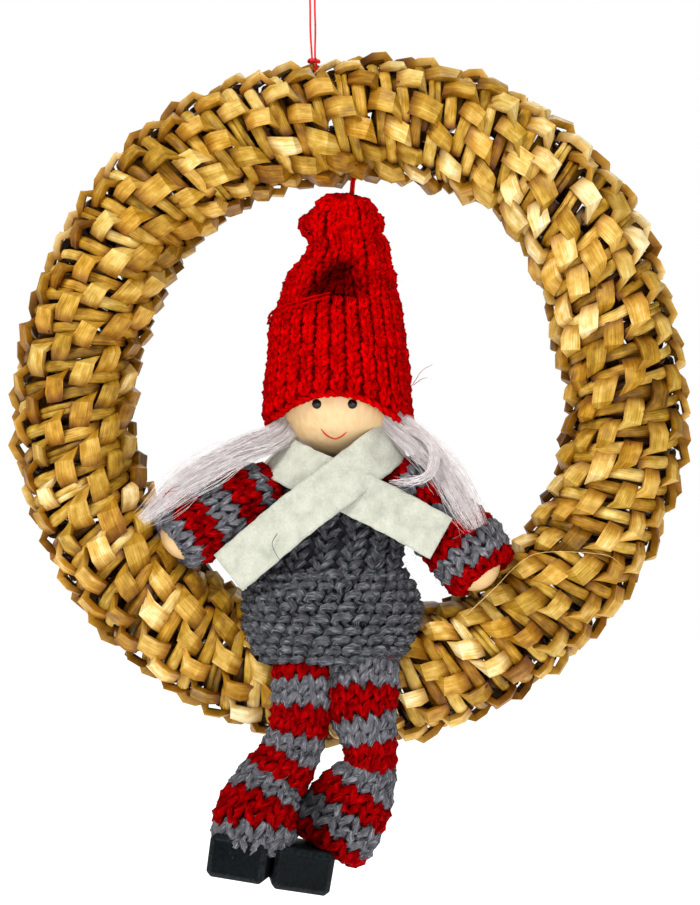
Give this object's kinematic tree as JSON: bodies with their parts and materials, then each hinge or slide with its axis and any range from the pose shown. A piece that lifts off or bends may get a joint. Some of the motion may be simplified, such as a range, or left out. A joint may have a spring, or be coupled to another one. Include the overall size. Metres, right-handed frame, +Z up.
{
  "type": "straw ring ornament with a knitted doll",
  "caption": "Hanging ring of plaited straw with a knitted doll in a pointed cap, felt scarf, sweater and striped trousers sitting in it, hung by a looped red thread.",
  "frame": {"origin": "top of the hanging loop, where a nail or hook carries the ornament", "axes": "+Z up, -Y towards the viewer that the doll faces, +X to that viewer's right; the ring stands in the XZ plane"},
  "size_m": [0.1877, 0.061, 0.2572],
  "materials": {
    "straw": "dry flattened straw, satin gloss",
    "red_thread": "twisted sewing thread",
    "face_wood": "smooth varnished pale wood",
    "red_knit": "ribbed knitting, soft yarn",
    "hair": "wispy combed fibre",
    "felt": "pressed felt",
    "grey_knit": "heathered knitting, soft yarn",
    "striped_knit": "knitting in red and grey stripes",
    "hand_wood": "plain turned wood",
    "black_paint": "glossy black paint"
  },
  "bodies": {
    "root": {"straw_ring": "straw", "hanging_thread": "red_thread", "thread_knot": "red_thread", "head": "face_wood", "hat": "red_knit", "hair_left": "hair", "hair_right": "hair", "scarf": "felt", "sweater": "grey_knit", "sleeve_left": "striped_knit", "sleeve_right": "striped_knit", "hand_left": "hand_wood", "hand_right": "hand_wood", "trousers": "striped_knit", "shoe_left": "black_paint", "shoe_right": "black_paint"}
  },
  "joints": []
}
